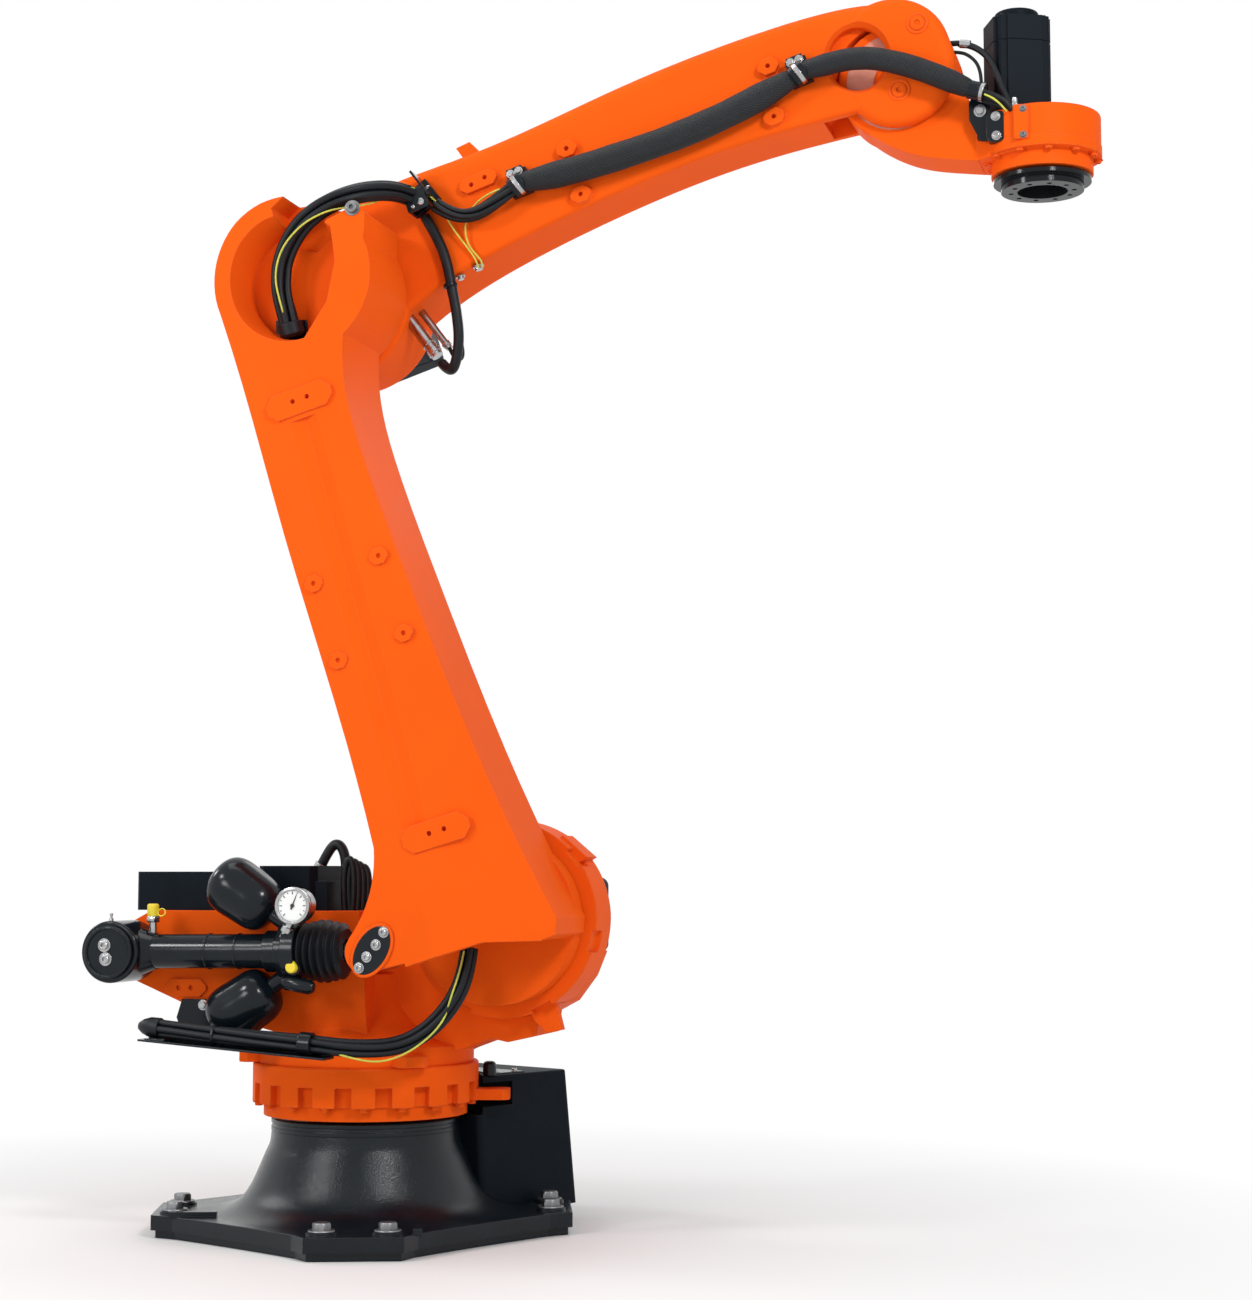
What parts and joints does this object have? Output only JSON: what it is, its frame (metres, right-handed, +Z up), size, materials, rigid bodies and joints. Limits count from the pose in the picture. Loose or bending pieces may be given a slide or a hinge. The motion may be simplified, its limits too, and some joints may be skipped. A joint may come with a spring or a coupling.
{
  "type": "industrial robot arm",
  "caption": "Floor-standing five-axis palletising robot: black bell base, orange turning column, leaning link arm with gas counterbalance, rising arm and level wrist with a downward tool flange",
  "frame": {"origin": "on the turning axis of the column, at the floor", "axes": "+Z up; the base is drawn along X and Y with its connection box on the -X side; the arm rests turned 116.5 degrees from +X towards +Y"},
  "size_m": [1.2324, 1.8434, 2.4925],
  "materials": {
    "orange_paint": "fine orange-peel paint",
    "black_casting": "pebbled semi-gloss black paint",
    "black_paint": "satin black paint",
    "black_rubber": "matt",
    "steel": "zinc plated",
    "dark_steel": "turned, dark"
  },
  "bodies": {
    "base": {"base_frame": "black_casting", "connection_box": "black_paint", "a1_stop_post": "black_paint"},
    "column": {"turntable_ring": "orange_paint", "column_casting": "orange_paint", "a2_gear_housing": "orange_paint", "a2_motor": "black_paint", "rear_housing": "black_paint", "rear_hose_loop": "black_rubber", "boom_pin": "steel", "cable_tray": "black_paint", "column_hoses": "black_rubber"},
    "cylinder": {"cylinder_barrel": "black_paint", "eye_cover": "black_paint", "cylinder_head": "black_paint", "upper_accumulator": "black_paint", "lower_accumulator": "black_paint", "pressure_gauge": "steel", "fill_valve": "steel", "rod_bellows": "black_rubber"},
    "rod": {"piston_rod": "steel"},
    "link": {"link_arm": "orange_paint", "lever_cover": "black_paint", "elbow_hoses": "black_rubber"},
    "arm": {"arm_casting": "orange_paint", "a3_gear_flange": "orange_paint", "a3_motor": "black_paint", "elbow_clamp": "black_paint", "sleeve_clamp_inner": "steel", "sleeve_clamp_outer": "steel", "arm_hose_tail": "black_rubber", "arm_hose_sleeve": "black_rubber", "branch_hose": "black_rubber", "branch_connectors": "steel"},
    "wrist": {"wrist_housing": "orange_paint", "a6_motor": "black_paint", "wrist_bracket": "black_paint", "wrist_hose_sleeve": "black_rubber", "motor_leads": "black_rubber"},
    "flange": {"tool_flange": "dark_steel"}
  },
  "joints": [
    {"name": "a1_turn", "type": "hinge", "parent": "base", "child": "column", "pos_m": [0, 0, 0.269], "axis": [0, 0, 1], "range_deg": [-301.5, 68.5]},
    {"name": "a2_link", "type": "hinge", "parent": "column", "child": "link", "pos_m": [0.04964, 0.39349, 0.645], "axis": [-0.8949, -0.4462, 0], "range_deg": [-33.5, 101.5], "deforming": ["column_hoses"]},
    {"name": "a3_arm", "type": "hinge", "parent": "link", "child": "arm", "pos_m": [0.11333, -0.00319, 1.93941], "axis": [0.8949, 0.4462, 0], "range_deg": [-66.5, 88.5], "deforming": ["elbow_hoses"]},
    {"name": "a5_wrist", "type": "hinge", "parent": "arm", "child": "wrist", "pos_m": [-0.50874, 1.02036, 2.32722], "axis": [-0.8949, -0.4462, 0], "range_deg": [-88, 67], "deforming": ["wrist_hose_sleeve", "motor_leads"]},
    {"name": "a6_flange", "type": "hinge", "parent": "wrist", "child": "flange", "pos_m": [-0.6359, 1.27542, 2.12722], "axis": [0, 0, -1], "range_deg": [-350, 350]},
    {"name": "cylinder_swing", "type": "hinge", "parent": "column", "child": "cylinder", "pos_m": [0.40215, -0.30456, 0.577], "axis": [0.8949, 0.4462, 0], "range_deg": [-8.37, 24.35]},
    {"name": "rod_stroke", "type": "slide", "parent": "cylinder", "child": "rod", "axis": [-0.4462, 0.8949, 0.0087], "range_m": [-0.0579, 0.1735], "deforming": ["rod_bellows"]}
  ],
  "couplings": [
    {"joint": "cylinder_swing", "follows": "a2_link", "ratio": 0.235},
    {"joint": "rod_stroke", "follows": "a2_link", "m_per_rad": 0.0974}
  ]
}
